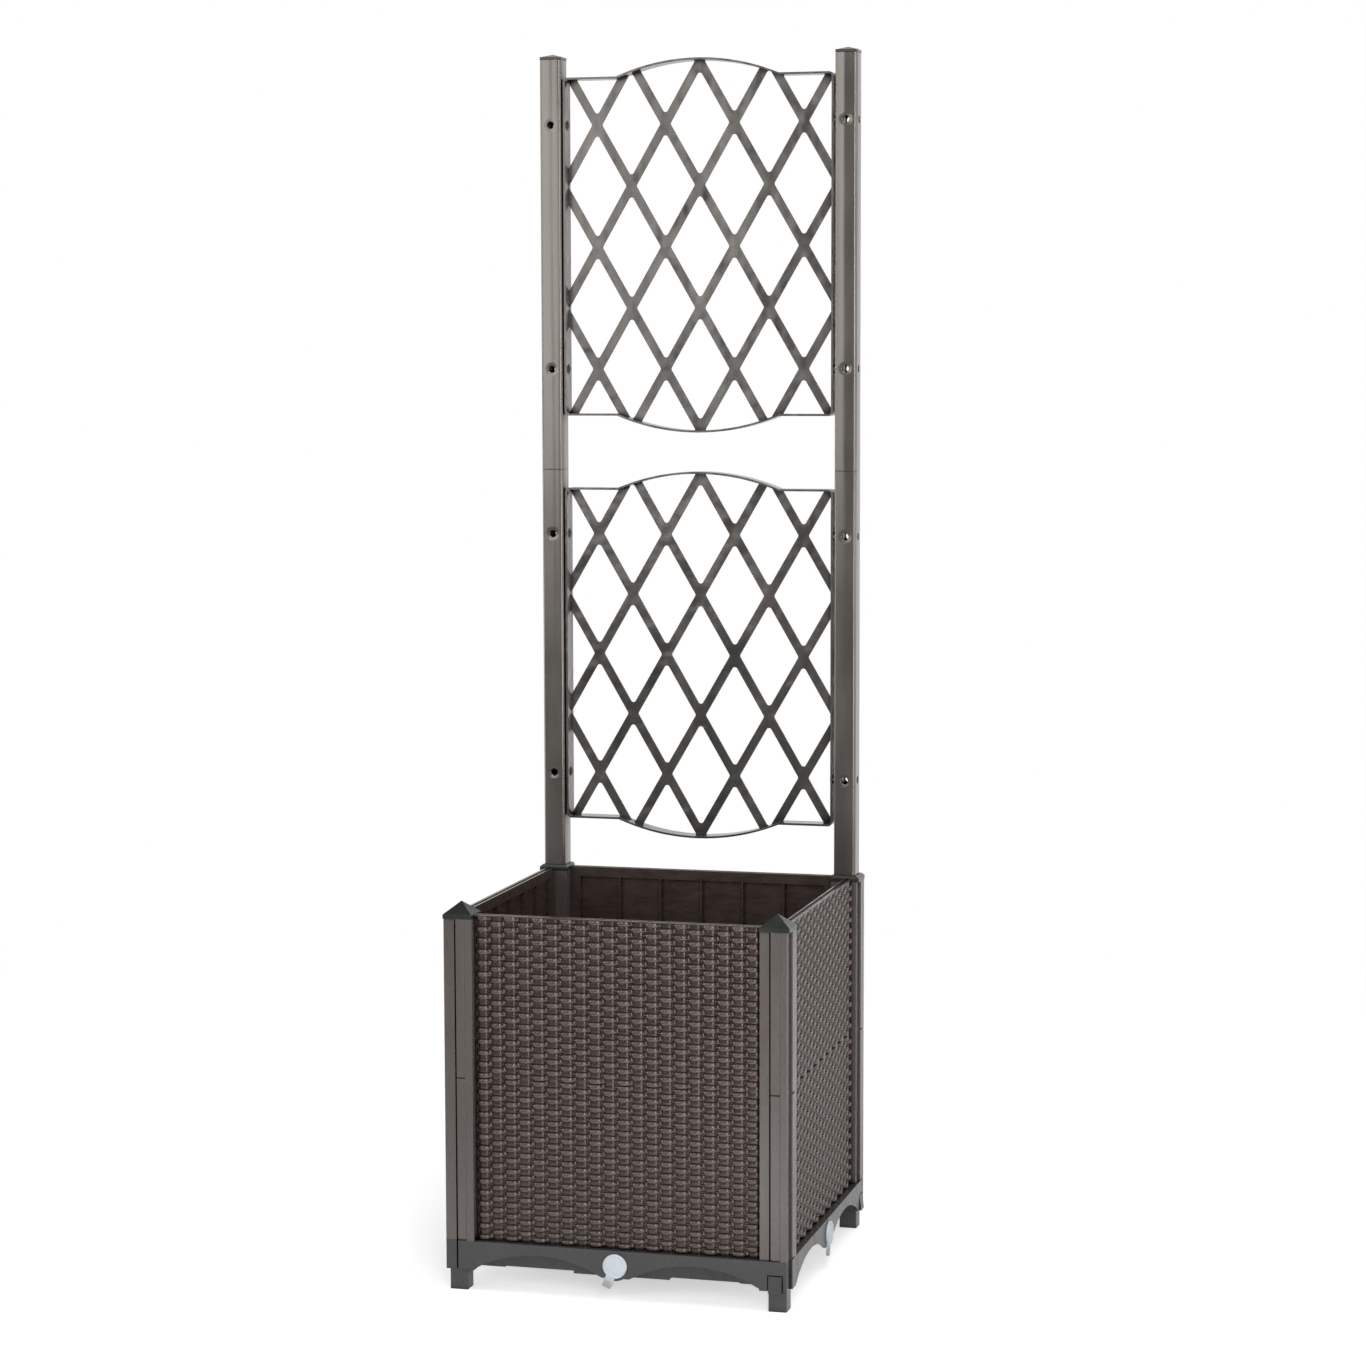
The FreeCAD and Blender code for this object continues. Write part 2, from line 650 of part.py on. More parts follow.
os.makedirs("parts", exist_ok=True)
export("base_tray", base_tray())
export("soil_grid", soil_grid())
lower_post, upper_post = post_section(base_top, tier_tops[0]), post_section(tier_tops[0], band_bottom)
panels = {"lower": wicker_panel(base_top), "upper": wicker_panel(tier_tops[0])}
for count, side_name in enumerate(side_names):
    export("drain_plug_" + side_name, quarter_turn(drain_plug(), count))
    for tier, panel in panels.items():
        export("wicker_panel_" + tier + "_" + side_name, quarter_turn(panel, count))
for count, corner_name in enumerate(corner_names):
    export("foot_" + corner_name, quarter_turn(foot(), count))
    export("post_lower_" + corner_name, quarter_turn(lower_post, count))
    export("post_upper_" + corner_name, quarter_turn(upper_post, count))
    top_piece = post_cap() if count < 2 else post_socket()
    export(("post_cap_" if count < 2 else "post_socket_") + corner_name, quarter_turn(top_piece, count))
tubes = {"lower": trellis_tube(tube_foot), "upper": trellis_tube(tube_foot + tube_length)}
for hand, hand_name in ((-1, "left"), (1, "right")):
    for tier, tube in tubes.items():
        export("trellis_tube_" + tier + "_" + hand_name, to_tube(tube, hand))
    export("tube_coupler_" + hand_name, to_tube(tube_coupler(), hand))
    export("tube_cap_" + hand_name, to_tube(tube_cap(), hand))
for tier, z0 in (("lower", tube_foot), ("upper", tube_foot + tube_length)):
    export("lattice_panel_" + tier, lattice_panel(sum(hole_heights(z0)) / 2))
export("lattice_bolts", at_fasteners(lattice_bolt()))
export("rivet_nuts", at_fasteners(rivet_nut()))
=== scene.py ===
import json
import math
import random

import bmesh
import bpy
from mathutils import Matrix, Vector


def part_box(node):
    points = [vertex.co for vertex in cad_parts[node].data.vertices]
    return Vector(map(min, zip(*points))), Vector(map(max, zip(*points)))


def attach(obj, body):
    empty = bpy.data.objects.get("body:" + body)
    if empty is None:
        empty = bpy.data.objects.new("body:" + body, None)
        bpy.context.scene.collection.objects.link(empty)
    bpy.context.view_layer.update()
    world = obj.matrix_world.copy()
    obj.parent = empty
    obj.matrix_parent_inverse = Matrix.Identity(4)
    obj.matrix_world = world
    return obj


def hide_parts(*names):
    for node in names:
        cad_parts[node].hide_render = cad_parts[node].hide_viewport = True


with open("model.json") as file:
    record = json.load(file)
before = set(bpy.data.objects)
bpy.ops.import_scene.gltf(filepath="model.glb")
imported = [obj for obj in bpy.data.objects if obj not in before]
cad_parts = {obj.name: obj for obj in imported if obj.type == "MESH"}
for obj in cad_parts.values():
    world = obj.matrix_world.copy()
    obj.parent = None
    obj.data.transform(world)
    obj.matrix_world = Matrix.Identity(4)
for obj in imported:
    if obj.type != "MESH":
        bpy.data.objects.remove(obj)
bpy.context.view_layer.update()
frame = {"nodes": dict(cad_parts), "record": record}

mm = 0.001
mergeGap = 0.01 * mm
tiers = ["lower", "upper"]
sides = ["front", "right", "back", "left"]  # each is the one before, turned a quarter about Z


def say(stage):
    print("scene:", stage)


view = {
    "place": (1.009, -3.684, 1.047),
    "turn": 14.928,  # degrees, towards the left
    "tilt": 5.537,  # degrees, downwards
    "roll": 0.134,
    "focalPixels": 3314,  # focal length in pixels of the square picture
    "framePixels": 1366,
    "sensor": 36,
}


def addCamera(v):
    data = bpy.data.cameras.new("camera")
    data.sensor_width = v["sensor"]
    data.lens = v["focalPixels"] / v["framePixels"] * v["sensor"]
    camera = bpy.data.objects.new("camera", data)
    bpy.context.scene.collection.objects.link(camera)
    turn = Matrix.Rotation(math.radians(v["turn"]), 4, "Z")
    tilt = Matrix.Rotation(math.radians(90 - v["tilt"]), 4, "X")
    roll = Matrix.Rotation(math.radians(-v["roll"]), 4, "Z")
    camera.matrix_world = Matrix.Translation(v["place"]) @ (turn @ tilt @ roll)
    bpy.context.scene.camera = camera


addCamera(view)
say("camera placed")


def newNode(tree, kind, **settings):
    node = tree.nodes.new("ShaderNode" + kind)
    for setting, value in settings.items():
        setattr(node, setting, value)
    return node


def calculate(tree, operation, first, second=0):
    # each value is a number or another node's output
    node = newNode(tree, "Math", operation=operation)
    for socket, value in zip(node.inputs, (first, second)):
        if isinstance(value, (int, float)):
            socket.default_value = value
        else:
            tree.links.new(value, socket)
    return node.outputs[0]


def mapRange(tree, value, before, after, smoothly=False):
    node = newNode(tree, "MapRange", interpolation_type="SMOOTHSTEP" if smoothly else "LINEAR")
    for socket, limit in zip(("From Min", "From Max", "To Min", "To Max"), (*before, *after)):
        node.inputs[socket].default_value = limit
    tree.links.new(value, node.inputs["Value"])
    return node.outputs["Result"]


def mixShaders(tree, share, first, second):
    mix = newNode(tree, "MixShader")
    for socket, source in zip(mix.inputs, (share, first.outputs[0], second.outputs[0])):
        tree.links.new(source, socket)
    return mix


# a white studio: open behind the planter, dimmer behind the camera
studio = {
    "mirrorFront": 0.14,  # what glossy surfaces see in front and behind
    "mirrorBack": 1.0,
    "worldLight": 0.30,
    "worldTurn": (0.4, 0.85),  # directions' Y between which the mirrored light rises
    "floorSize": 60.0,
    "floorColour": (0.86, 0.86, 0.86),
    "floorLift": 0.55,  # glow that brings the lit floor up to white for the camera
    "mirroredLift": 0.5,  # share of that glow that glossy surfaces see
    "floorFade": (1.3, 2.2),  # radii between which the floor turns pure white to the camera
    "mirrorFade": (0.6, 1.0),  # radii between which glossy surfaces see the floor as a gradient
    "floorTurn": (-2.0, 0.5),  # Y between which that gradient rises
    "lamps": {  # azimuth runs from the front towards the right, and each lamp faces the planter's axis
        "bigLeft": {"azimuth": -29, "height": 1.9, "distance": 3.6, "size": (2.0, 2.4), "glow": 2.0},
        "stripRight": {"azimuth": 23, "height": 1.5, "distance": 3.2, "size": (0.8, 2.9), "glow": 7.5},
        "edgeLeft": {"azimuth": -76, "height": 1.2, "distance": 3.4, "size": (0.9, 2.2), "glow": 5.0},
        "softRight": {"azimuth": 82, "height": 1.3, "distance": 3.4, "size": (1.7, 2.2), "glow": 2.2},
    },
    "topLamp": {"place": (1.0, -0.4, 3.6), "size": (1.4, 1.4), "glow": 4.0},
    "floorCard": {"azimuth": 23, "height": 0.02, "distance": 1.75, "size": (0.7, 2.5), "glow": 1.3},
}


def addWorld(s):
    world = bpy.data.worlds.new("studioWorld")
    world.use_nodes = True
    tree = world.node_tree
    tree.nodes.clear()
    out, path = newNode(tree, "OutputWorld"), newNode(tree, "LightPath")
    way, axes = newNode(tree, "TexCoord"), newNode(tree, "SeparateXYZ")
    light, white, mirror = (newNode(tree, "Background") for _ in range(3))
    for shade in (light, white, mirror):
        shade.inputs["Color"].default_value = (1, 1, 1, 1)
    light.inputs["Strength"].default_value = s["worldLight"]
    tree.links.new(way.outputs["Generated"], axes.inputs[0])
    glow = mapRange(tree, axes.outputs["Y"], s["worldTurn"], (s["mirrorFront"], s["mirrorBack"]), True)
    tree.links.new(glow, mirror.inputs["Strength"])
    seen = calculate(tree, "MAXIMUM", path.outputs["Is Camera Ray"], path.outputs["Is Transmission Ray"])
    unseen = mixShaders(tree, path.outputs["Is Glossy Ray"], light, mirror)
    tree.links.new(mixShaders(tree, seen, unseen, white).outputs[0], out.inputs[0])
    bpy.context.scene.world = world


def floorPaint(s):
    material = bpy.data.materials.new("floorPaint")
    material.use_nodes = True
    tree = material.node_tree
    tree.nodes.clear()
    out, total = newNode(tree, "OutputMaterial"), newNode(tree, "AddShader")
    path, place = newNode(tree, "LightPath"), newNode(tree, "TexCoord")
    axes, reach = newNode(tree, "SeparateXYZ"), newNode(tree, "VectorMath", operation="LENGTH")
    paint = newNode(tree, "BsdfDiffuse")
    lift, white, mirror = (newNode(tree, "Emission") for _ in range(3))
    paint.inputs["Color"].default_value = (*s["floorColour"], 1)
    tree.links.new(place.outputs["Object"], axes.inputs[0])
    tree.links.new(place.outputs["Object"], reach.inputs[0])

    # near the planter: a lit floor, lifted to white
    mirrored = calculate(tree, "MULTIPLY", path.outputs["Is Glossy Ray"], s["mirroredLift"])
    lifted = calculate(tree, "MAXIMUM", path.outputs["Is Camera Ray"], mirrored)
    tree.links.new(calculate(tree, "MULTIPLY", lifted, s["floorLift"]), lift.inputs["Strength"])
    tree.links.new(paint.outputs[0], total.inputs[0])
    tree.links.new(lift.outputs[0], total.inputs[1])

    # farther out: plain white to the camera, and a gradient in glossy surfaces
    far = mapRange(tree, reach.outputs["Value"], s["floorFade"], (0, 1), True)
    seen = calculate(tree, "MAXIMUM", path.outputs["Is Camera Ray"], path.outputs["Is Transmission Ray"])
    toCamera = mixShaders(tree, calculate(tree, "MULTIPLY", far, seen), total, white)
    rise = mapRange(tree, axes.outputs["Y"], s["floorTurn"], (s["mirrorFront"], s["mirrorBack"]), True)
    tree.links.new(rise, mirror.inputs["Strength"])
    beyond = mapRange(tree, reach.outputs["Value"], s["mirrorFade"], (0, 1), True)
    toMirror = calculate(tree, "MULTIPLY", beyond, path.outputs["Is Glossy Ray"])
    tree.links.new(mixShaders(tree, toMirror, toCamera, mirror).outputs[0], out.inputs["Surface"])
    return material


def addFloor(s):
    bm = bmesh.new()
    bmesh.ops.create_grid(bm, x_segments=2, y_segments=2, size=s["floorSize"] / 2)
    mesh = bpy.data.meshes.new("floor")
    bm.to_mesh(mesh)
    bm.free()
    mesh.materials.append(floorPaint(s))
    floor = bpy.data.objects.new("floor", mesh)
    bpy.context.scene.collection.objects.link(floor)


def addLamp(name, place, turn, lamp):
    data = bpy.data.lights.new(name, "AREA")
    data.shape = "RECTANGLE"
    data.size, data.size_y = lamp["size"]
    data.energy = lamp["glow"] * math.pi * data.size * data.size_y
    light = bpy.data.objects.new(name, data)
    bpy.context.scene.collection.objects.link(light)
    light.matrix_world = Matrix.Translation(place) @ turn
    return light


def around(lamp):
    azimuth, distance = math.radians(lamp["azimuth"]), lamp["distance"]
    return Vector((distance * math.sin(azimuth), -distance * math.cos(azimuth), lamp["height"]))


def facing(place, target):
    return (Vector(target) - Vector(place)).to_track_quat("-Z", "Y").to_matrix().to_4x4()


def addLamps(s):
    for name, lamp in s["lamps"].items():
        place = around(lamp)
        addLamp(name, place, facing(place, (0, 0, lamp["height"])), lamp)
    top, card = s["topLamp"], s["floorCard"]
    addLamp("softTop", top["place"], facing(top["place"], (0, 0, 0)), top)
    azimuth = math.radians(card["azimuth"])
    upwards = Matrix.Rotation(azimuth, 4, "Z") @ Matrix.Rotation(math.pi, 4, "X")
    addLamp("floorCard", around(card), upwards, card).visible_camera = False


addWorld(studio)
addFloor(studio)
addLamps(studio)
bpy.context.scene.view_settings.view_transform = "Standard"
say("studio lit")


def startMaterial(name, colour, roughness, metallic=0.0, coat=0.0, coatRoughness=0.1, specular=0.5):
    material = bpy.data.materials.new(name)
    material.use_nodes = True
    shader = material.node_tree.nodes["Principled BSDF"]
    shader.inputs["Base Color"].default_value = (*colour, 1)
    shader.inputs["Roughness"].default_value = roughness
    shader.inputs["Metallic"].default_value = metallic
    shader.inputs["Coat Weight"].default_value = coat
    shader.inputs["Coat Roughness"].default_value = coatRoughness
    shader.inputs["Specular IOR Level"].default_value = specular
    return material, material.node_tree, shader


def noise(tree, scale, stretch=(1, 1, 1), detail=3.0, roughness=0.55):
    coords, mapping, texture = newNode(tree, "TexCoord"), newNode(tree, "Mapping"), newNode(tree, "TexNoise")
    mapping.inputs["Scale"].default_value = stretch
    texture.inputs["Scale"].default_value = scale
    texture.inputs["Detail"].default_value = detail
    texture.inputs["Roughness"].default_value = roughness
    tree.links.new(coords.outputs["Object"], mapping.inputs["Vector"])
    tree.links.new(mapping.outputs["Vector"], texture.inputs["Vector"])
    return texture.outputs["Fac"]


def spread(tree, value, low, high):
    # a noise's middle values, spread over low to high
    return mapRange(tree, value, (0.3, 0.7), (low, high))


def attribute(tree, name):
    return newNode(tree, "Attribute", attribute_name=name).outputs["Fac"]


def mixColours(tree, factor, first, second, way="MIX"):
    # each value is a number, a colour or another node's output
    mix = newNode(tree, "Mix", data_type="RGBA", blend_type=way)
    for socket, value in (("Factor", factor), ("A", first), ("B", second)):
        if isinstance(value, tuple):
            mix.inputs[socket].default_value = (*value, 1)
        elif isinstance(value, float):
            mix.inputs[socket].default_value = value
        else:
            tree.links.new(value, mix.inputs[socket])
    return mix.outputs["Result"]


def blendColours(tree, value, first, second):
    return mixColours(tree, spread(tree, value, 0, 1), first, second)


def bump(tree, value, height, softEdge=0.0):
    node = newNode(tree, "Bump")
    node.inputs["Strength"].default_value = 1.0
    node.inputs["Distance"].default_value = height
    tree.links.new(value, node.inputs["Height"])
    if softEdge:
        bevel = newNode(tree, "Bevel", samples=6)
        bevel.inputs["Radius"].default_value = softEdge
        tree.links.new(bevel.outputs["Normal"], node.inputs["Normal"])
    return node.outputs["Normal"]


def connect(tree, shader, colour=None, roughness=None, normal=None):
    for value, socket in ((colour, "Base Color"), (roughness, "Roughness"), (normal, "Normal")):
        if value is not None:
            tree.links.new(value, shader.inputs[socket])


def shadeRecesses(tree, shader, reach, darkest, limits):
    # painted shade deep in grooves, holes and corners: ambient occlusion darkens the base colour and the
    # specular level
    hidden = newNode(tree, "AmbientOcclusion", samples=6)
    hidden.inputs["Distance"].default_value = reach
    openness = mapRange(tree, hidden.outputs["AO"], limits, (darkest, 1.0), True)
    colour = shader.inputs["Base Color"].links[0].from_socket
    tree.links.new(mixColours(tree, 1.0, colour, openness, "MULTIPLY"), shader.inputs["Base Color"])
    specular = shader.inputs["Specular IOR Level"]
    tree.links.new(calculate(tree, "MULTIPLY", openness, specular.default_value), specular)


moulded = {  # grain is its height, and edge the radius that edges are softened by
    "basePlastic": {
        "tint": (0.046, 0.046, 0.045), "deep": (0.037, 0.037, 0.037),
        "roughness": 0.27, "specular": 0.6, "grain": 0.04 * mm, "edge": 0.9 * mm,
    },
    "postPlastic": {
        "tint": (0.100, 0.084, 0.076), "deep": (0.084, 0.071, 0.064),
        "roughness": 0.28, "specular": 0.8, "grain": 0.05 * mm, "edge": 0.8 * mm,
    },
    "capPlastic": {
        "tint": (0.024, 0.027, 0.023), "deep": (0.018, 0.021, 0.017),
        "roughness": 0.30, "specular": 0.5, "grain": 0.04 * mm, "edge": 1.0 * mm,
    },
    "tubeCapPlastic": {
        "tint": (0.05, 0.047, 0.044), "deep": (0.04, 0.038, 0.036),
        "roughness": 0.22, "specular": 0.5, "grain": 0.03 * mm, "edge": 0.6 * mm,
    },
    "boltCoating": {
        "tint": (0.035, 0.032, 0.030), "deep": (0.028, 0.026, 0.024),
        "roughness": 0.28, "specular": 0.5, "grain": 0.03 * mm, "edge": 0.6 * mm,
    },
}


def mouldedPlastic(name):
    # fine spark-eroded grain with faint flow streaks
    m = moulded[name]
    material, tree, shader = startMaterial(name, m["tint"], m["roughness"], specular=m["specular"])
    cloud = noise(tree, scale=22, stretch=(1, 1, 0.25))
    streaks = noise(tree, scale=60, stretch=(1, 1, 0.3))
    grain = noise(tree, scale=2600, detail=1)
    connect(
        tree, shader,
        colour=blendColours(tree, cloud, m["tint"], m["deep"]),
        roughness=spread(tree, streaks, m["roughness"] - 0.05, m["roughness"] + 0.06),
        normal=bump(tree, grain, m["grain"], m["edge"]),
    )
    shadeRecesses(tree, shader, reach=12 * mm, darkest=0.02, limits=(0.3, 0.62))
    return material


wickerTints = {
    # painted shade: the tint that the deepest recesses darken to
    "recess": (0.009, 0.006, 0.005),
    "dark": (0.050, 0.032, 0.026),
    "light": (0.088, 0.062, 0.053),
    "shine": (1.0, 0.88, 0.84),
}


def wickerPlastic(t):
    # fine lines run along each strand, one tint from strand to strand, and painted shade darkens the
    # recesses by each point's depth
    material, tree, shader = startMaterial("wickerPlastic", t["dark"], roughness=0.26, specular=0.8)
    shader.inputs["Specular Tint"].default_value = (*t["shine"], 1)
    lines = noise(tree, scale=30, stretch=(1, 1, 45), detail=4, roughness=0.6)
    patches = noise(tree, scale=38, stretch=(1, 1, 2.6), detail=2)
    both = calculate(tree, "MULTIPLY", calculate(tree, "ADD", lines, patches), 0.5)
    # painted shade: points near the skin take the recess tint, points on the crowns keep the strand tint
    raised = mapRange(tree, attribute(tree, "reliefShade"), (0.25, 0.85), (0.25, 1.0), True)
    connect(
        tree, shader,
        colour=mixColours(tree, raised, t["recess"], blendColours(tree, both, t["dark"], t["light"])),
        roughness=spread(tree, patches, 0.23, 0.33),
        normal=bump(tree, lines, 0.07 * mm),
    )
    shadeRecesses(tree, shader, reach=6 * mm, darkest=0.2, limits=(0.2, 0.75))
    return material


def metallicLacquer(name, m):
    # cloudy from the spray
    material, tree, shader = startMaterial(
        name, m["low"], m["roughness"], metallic=m["metallic"], coat=0.1, coatRoughness=0.12)
    cloud = noise(tree, scale=30, stretch=(1, 1, 0.3), detail=2)
    connect(
        tree, shader,
        colour=blendColours(tree, cloud, m["low"], m["high"]),
        roughness=spread(tree, cloud, m["roughness"], m["roughness"] + 0.07),
    )
    return material, tree, shader


tubeFinish = {
    "low": (0.165, 0.15, 0.136),
    "high": (0.205, 0.187, 0.171),
    "metallic": 0.7,
    "roughness": 0.17,
    "crown": -3.6,  # how fast a flat falls away from its middle, per metre
    "streaks": 0.5 * mm,
    "dents": 0.5 * mm,
    "dimple": (3 * mm, 9 * mm),  # radii between which the flat rises out of a dimple
    "dimpleDrop": -0.5 * mm,
    "holesDown": (78 * mm, 370 * mm),  # from the top of each tube
}


def tubeCoating(m):
    # a drawn tube's flats are crowned, streaked by the rolls and pressed in round the holes
    material, tree, shader = metallicLacquer("tubeCoating", m)
    place, axes = newNode(tree, "TexCoord"), newNode(tree, "SeparateXYZ")
    tree.links.new(place.outputs["Object"], axes.inputs[0])
    low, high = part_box("trellis_tube_upper_right")
    centre = (low.x + high.x) / 2
    acrossX = calculate(tree, "SUBTRACT", calculate(tree, "ABSOLUTE", axes.outputs["X"]), centre)
    acrossY = calculate(tree, "SUBTRACT", axes.outputs["Y"], centre)
    squareX, squareY = (calculate(tree, "MULTIPLY", across, across) for across in (acrossX, acrossY))
    height = calculate(tree, "MULTIPLY", calculate(tree, "ADD", squareX, squareY), m["crown"])
    rolled = noise(tree, scale=120, stretch=(1, 1, 0.012), detail=0)
    uneven = noise(tree, scale=26, stretch=(1, 1, 0.22), detail=1)
    for pattern, size in ((rolled, m["streaks"]), (uneven, m["dents"])):
        height = calculate(tree, "ADD", height, calculate(tree, "MULTIPLY", pattern, size))
    for tier in reversed(tiers):
        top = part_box("trellis_tube_" + tier + "_left")[1].z
        for down in m["holesDown"]:
            along = calculate(tree, "SUBTRACT", axes.outputs["Z"], top - down)
            squares = calculate(tree, "ADD", squareX, calculate(tree, "MULTIPLY", along, along))
            away = calculate(tree, "SQRT", squares)
            dimple = mapRange(tree, away, m["dimple"], (m["dimpleDrop"], 0), True)
            height = calculate(tree, "ADD", height, dimple)
    connect(tree, shader, normal=bump(tree, height, 1.0))
    shadeRecesses(tree, shader, reach=30 * mm, darkest=0.01, limits=(0.35, 0.8))
    return material


latticeFinish = {
    "low": (0.095, 0.088, 0.082),
    "high": (0.165, 0.152, 0.142),
    "edge": (0.02, 0.018, 0.017),
    "metallic": 0.7,
    "roughness": 0.20,
    "sheetDepth": 7.9 * mm,  # from the frame's back to the middle of the sheet inside it
    "sheetHalf": 1 * mm,
}


def latticeCoating(m):
    # the sheet's sheared edges are darker than its faces; the same band also paints a thin shadow line on
    # the frame's inner faces beside the sheet
    material, tree, shader = metallicLacquer("latticeCoating", m)
    shape, place = newNode(tree, "NewGeometry"), newNode(tree, "TexCoord")
    normal, axes = newNode(tree, "SeparateXYZ"), newNode(tree, "SeparateXYZ")
    tree.links.new(shape.outputs["True Normal"], normal.inputs[0])
    tree.links.new(place.outputs["Object"], axes.inputs[0])
    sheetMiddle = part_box("lattice_panel_upper")[1].y - m["sheetDepth"]
    sideways = calculate(tree, "LESS_THAN", calculate(tree, "ABSOLUTE", normal.outputs["Y"]), 0.5)
    depth = calculate(tree, "ABSOLUTE", calculate(tree, "SUBTRACT", axes.outputs["Y"], sheetMiddle))
    edge = calculate(tree, "MULTIPLY", sideways, calculate(tree, "LESS_THAN", depth, m["sheetHalf"]))
    tree.links.new(mapRange(tree, edge, (0, 1), (m["metallic"], 0.0)), shader.inputs["Metallic"])
    connect(
        tree, shader,
        colour=mixColours(tree, edge, shader.inputs["Base Color"].links[0].from_socket, m["edge"]),
        normal=bump(tree, noise(tree, scale=45, detail=1), 1.3 * mm, 0.6 * mm),
    )
    shadeRecesses(tree, shader, reach=12 * mm, darkest=0.02, limits=(0.3, 0.85))
    return material


def plugSilicone():
    # milky, and darker where the pull tab is thin
    material, tree, shader = startMaterial("plugSilicone", (0.60, 0.65, 0.70), roughness=0.45, specular=0.45)
    shader.inputs["Subsurface Weight"].default_value = 0.25
    shader.inputs["Subsurface Radius"].default_value = (3 * mm, 3 * mm, 4 * mm)
    cloud = noise(tree, scale=160, detail=2)
    milky = blendColours(tree, cloud, (0.55, 0.60, 0.65), (0.61, 0.66, 0.71))
    connect(
        tree, shader,
        colour=mixColours(tree, attribute(tree, "thin"), milky, (0.36, 0.40, 0.39)),
        normal=bump(tree, noise(tree, scale=1500, detail=1), 0.04 * mm, 0.6 * mm),
    )
    return material


def nutSteel():
    material, tree, shader = startMaterial("nutSteel", (0.46, 0.45, 0.43), roughness=0.32, metallic=1.0)
    turned = noise(tree, scale=900, stretch=(0.05, 1, 1), detail=2)
    connect(
        tree, shader,
        colour=blendColours(tree, turned, (0.40, 0.39, 0.37), (0.52, 0.51, 0.49)),
        roughness=spread(tree, turned, 0.25, 0.42),
        normal=bump(tree, turned, 0.03 * mm, 0.4 * mm),
    )
    return material


finishes = {  # by the record's material slots
    "base_plastic": mouldedPlastic("basePlastic"),
    "post_plastic": mouldedPlastic("postPlastic"),
    "wicker_plastic": wickerPlastic(wickerTints),
    "cap_plastic": mouldedPlastic("capPlastic"),
    "plug_silicone": plugSilicone(),
    "trellis_coating": latticeCoating(latticeFinish),
    "bolt_coating": mouldedPlastic("boltCoating"),
    "nut_steel": nutSteel(),
}
ownFinishes = {"trellis_tube": tubeCoating(tubeFinish), "tube_cap": mouldedPlastic("tubeCapPlastic")}


def dressNodes():
    for part in frame["record"]["subparts"]:
        kind = "_".join(word for word in part["node"].split("_") if word not in (*tiers, *sides))
        mesh = frame["nodes"][part["node"]].data
        mesh.materials.clear()
        mesh.materials.append(ownFinishes.get(kind, finishes[part["material_slot"]]))


dressNodes()
say("materials ready")


def smooth(x):
    x = min(max(x, 0.0), 1.0)
    return x * x * (3 - 2 * x)


def openedCopy(node, depth):
    # a node's own mesh, cut off in front of that depth and closed again
    bm = bmesh.new()
    bm.from_mesh(frame["nodes"][node].data)
    bmesh.ops.remove_doubles(bm, verts=bm.verts, dist=mergeGap)
    everything = bm.verts[:] + bm.edges[:] + bm.faces[:]
    bmesh.ops.bisect_plane(bm, geom=everything, plane_co=(0, depth, 0), plane_no=(0, 1, 0), clear_inner=True)
    bmesh.ops.holes_fill(bm, edges=[edge for edge in bm.edges if edge.is_boundary], sides=0)
    return bm


def addToEachSide(bm, name, slot, replaced, bodies):
    # the front's mesh, and the same turned to the other three sides
    for turn, side in enumerate(sides):
        copy = bm.copy()
        quarters = Matrix.Rotation(turn * math.pi / 2, 3, "Z")
        bmesh.ops.rotate(copy, cent=(0, 0, 0), matrix=quarters, verts=copy.verts)
        mesh = bpy.data.meshes.new(name + "_" + side)
        copy.to_mesh(mesh)
        copy.free()
        mesh.materials.append(finishes[slot])
        piece = bpy.data.objects.new(mesh.name, mesh)
        bpy.context.scene.collection.objects.link(piece)
        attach(piece, bodies[side])
        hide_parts(replaced + "_" + side)
    bm.free()


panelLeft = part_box("post_lower_front_left")[1].x
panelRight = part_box("post_lower_front_right")[0].x
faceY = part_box("base_tray")[0].y  # outer face of the box's front
panelBottoms = {"lower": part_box("base_tray")[1].z, "upper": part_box("wicker_panel_lower_front")[1].z}
wicker = {
    "rows": 29,
    "columns": 20,
    "columnPitch": 16.5 * mm,
    "edgeGap": 1.5 * mm,
    "edgeDip": 3.2 * mm,  # how far from the posts the strands turn back
    "crown": 6.8 * mm,  # depths behind the box's outer face
    "stakeCrown": 9.9 * mm,
    "under": 11.0 * mm,
    "skin": 11.5 * mm,
    "strandRound": 1.9 * mm,  # how far a strand's edges curve back
    "strandHalf": 2.95 * mm,
    "crest": 5.3 * mm,  # half length of a strand's level crest
    "dive": 8.8 * mm,  # where it has gone under
    "pillow": 1.15 * mm,  # how far a crest has curved back at its ends
    "leftTaper": 0.42,  # a strand narrows most where it comes out from under a stake
    "leftPower": 3,
    "rightTaper": 0.12,
    "rightPower": 6,
    "stakeHalf": 5.6 * mm,
    "stakeRound": 1.9 * mm,
    "stakeWave": 0.45 * mm,
    "roundPower": 0.7,  # below 1, a strip is flatter across its top and steeper at its edges
    "perColumn": 9,
    "perRow": 3,
    "around": 8,
    "unevenness": 0.14 * mm,
    "seed": 11,
    "bodyShade": 0.55,  # painted shade level that the material reads on the panel's own edges, rim and webs
    "rimGap": 1.0 * mm,
    "rimFront": 8.4 * mm,
    "rimBack": 11.9 * mm,
    "rimTall": 1.5 * mm,
    "channelMiddle": 13.8 * mm,
    "channelWide": 4.2 * mm,
    "channelDeep": 8.2 * mm,
    "teeth": 38,
    "toothPitch": 8.0 * mm,
    "toothThick": 1.3 * mm,
    "toothDrop": 0.4 * mm,
}


def bentStrip(bm, along, across, place):
    # a grid whose points are moved to place(share along, share across)
    grid = bmesh.ops.create_grid(bm, x_segments=along, y_segments=across, size=0.5)
    for vert in grid["verts"]:
        vert.co = place(vert.co.x + 0.5, vert.co.y + 0.5)
    faces = {face for vert in grid["verts"] for face in vert.link_faces}
    for face in faces:
        face.smooth = True
    return faces


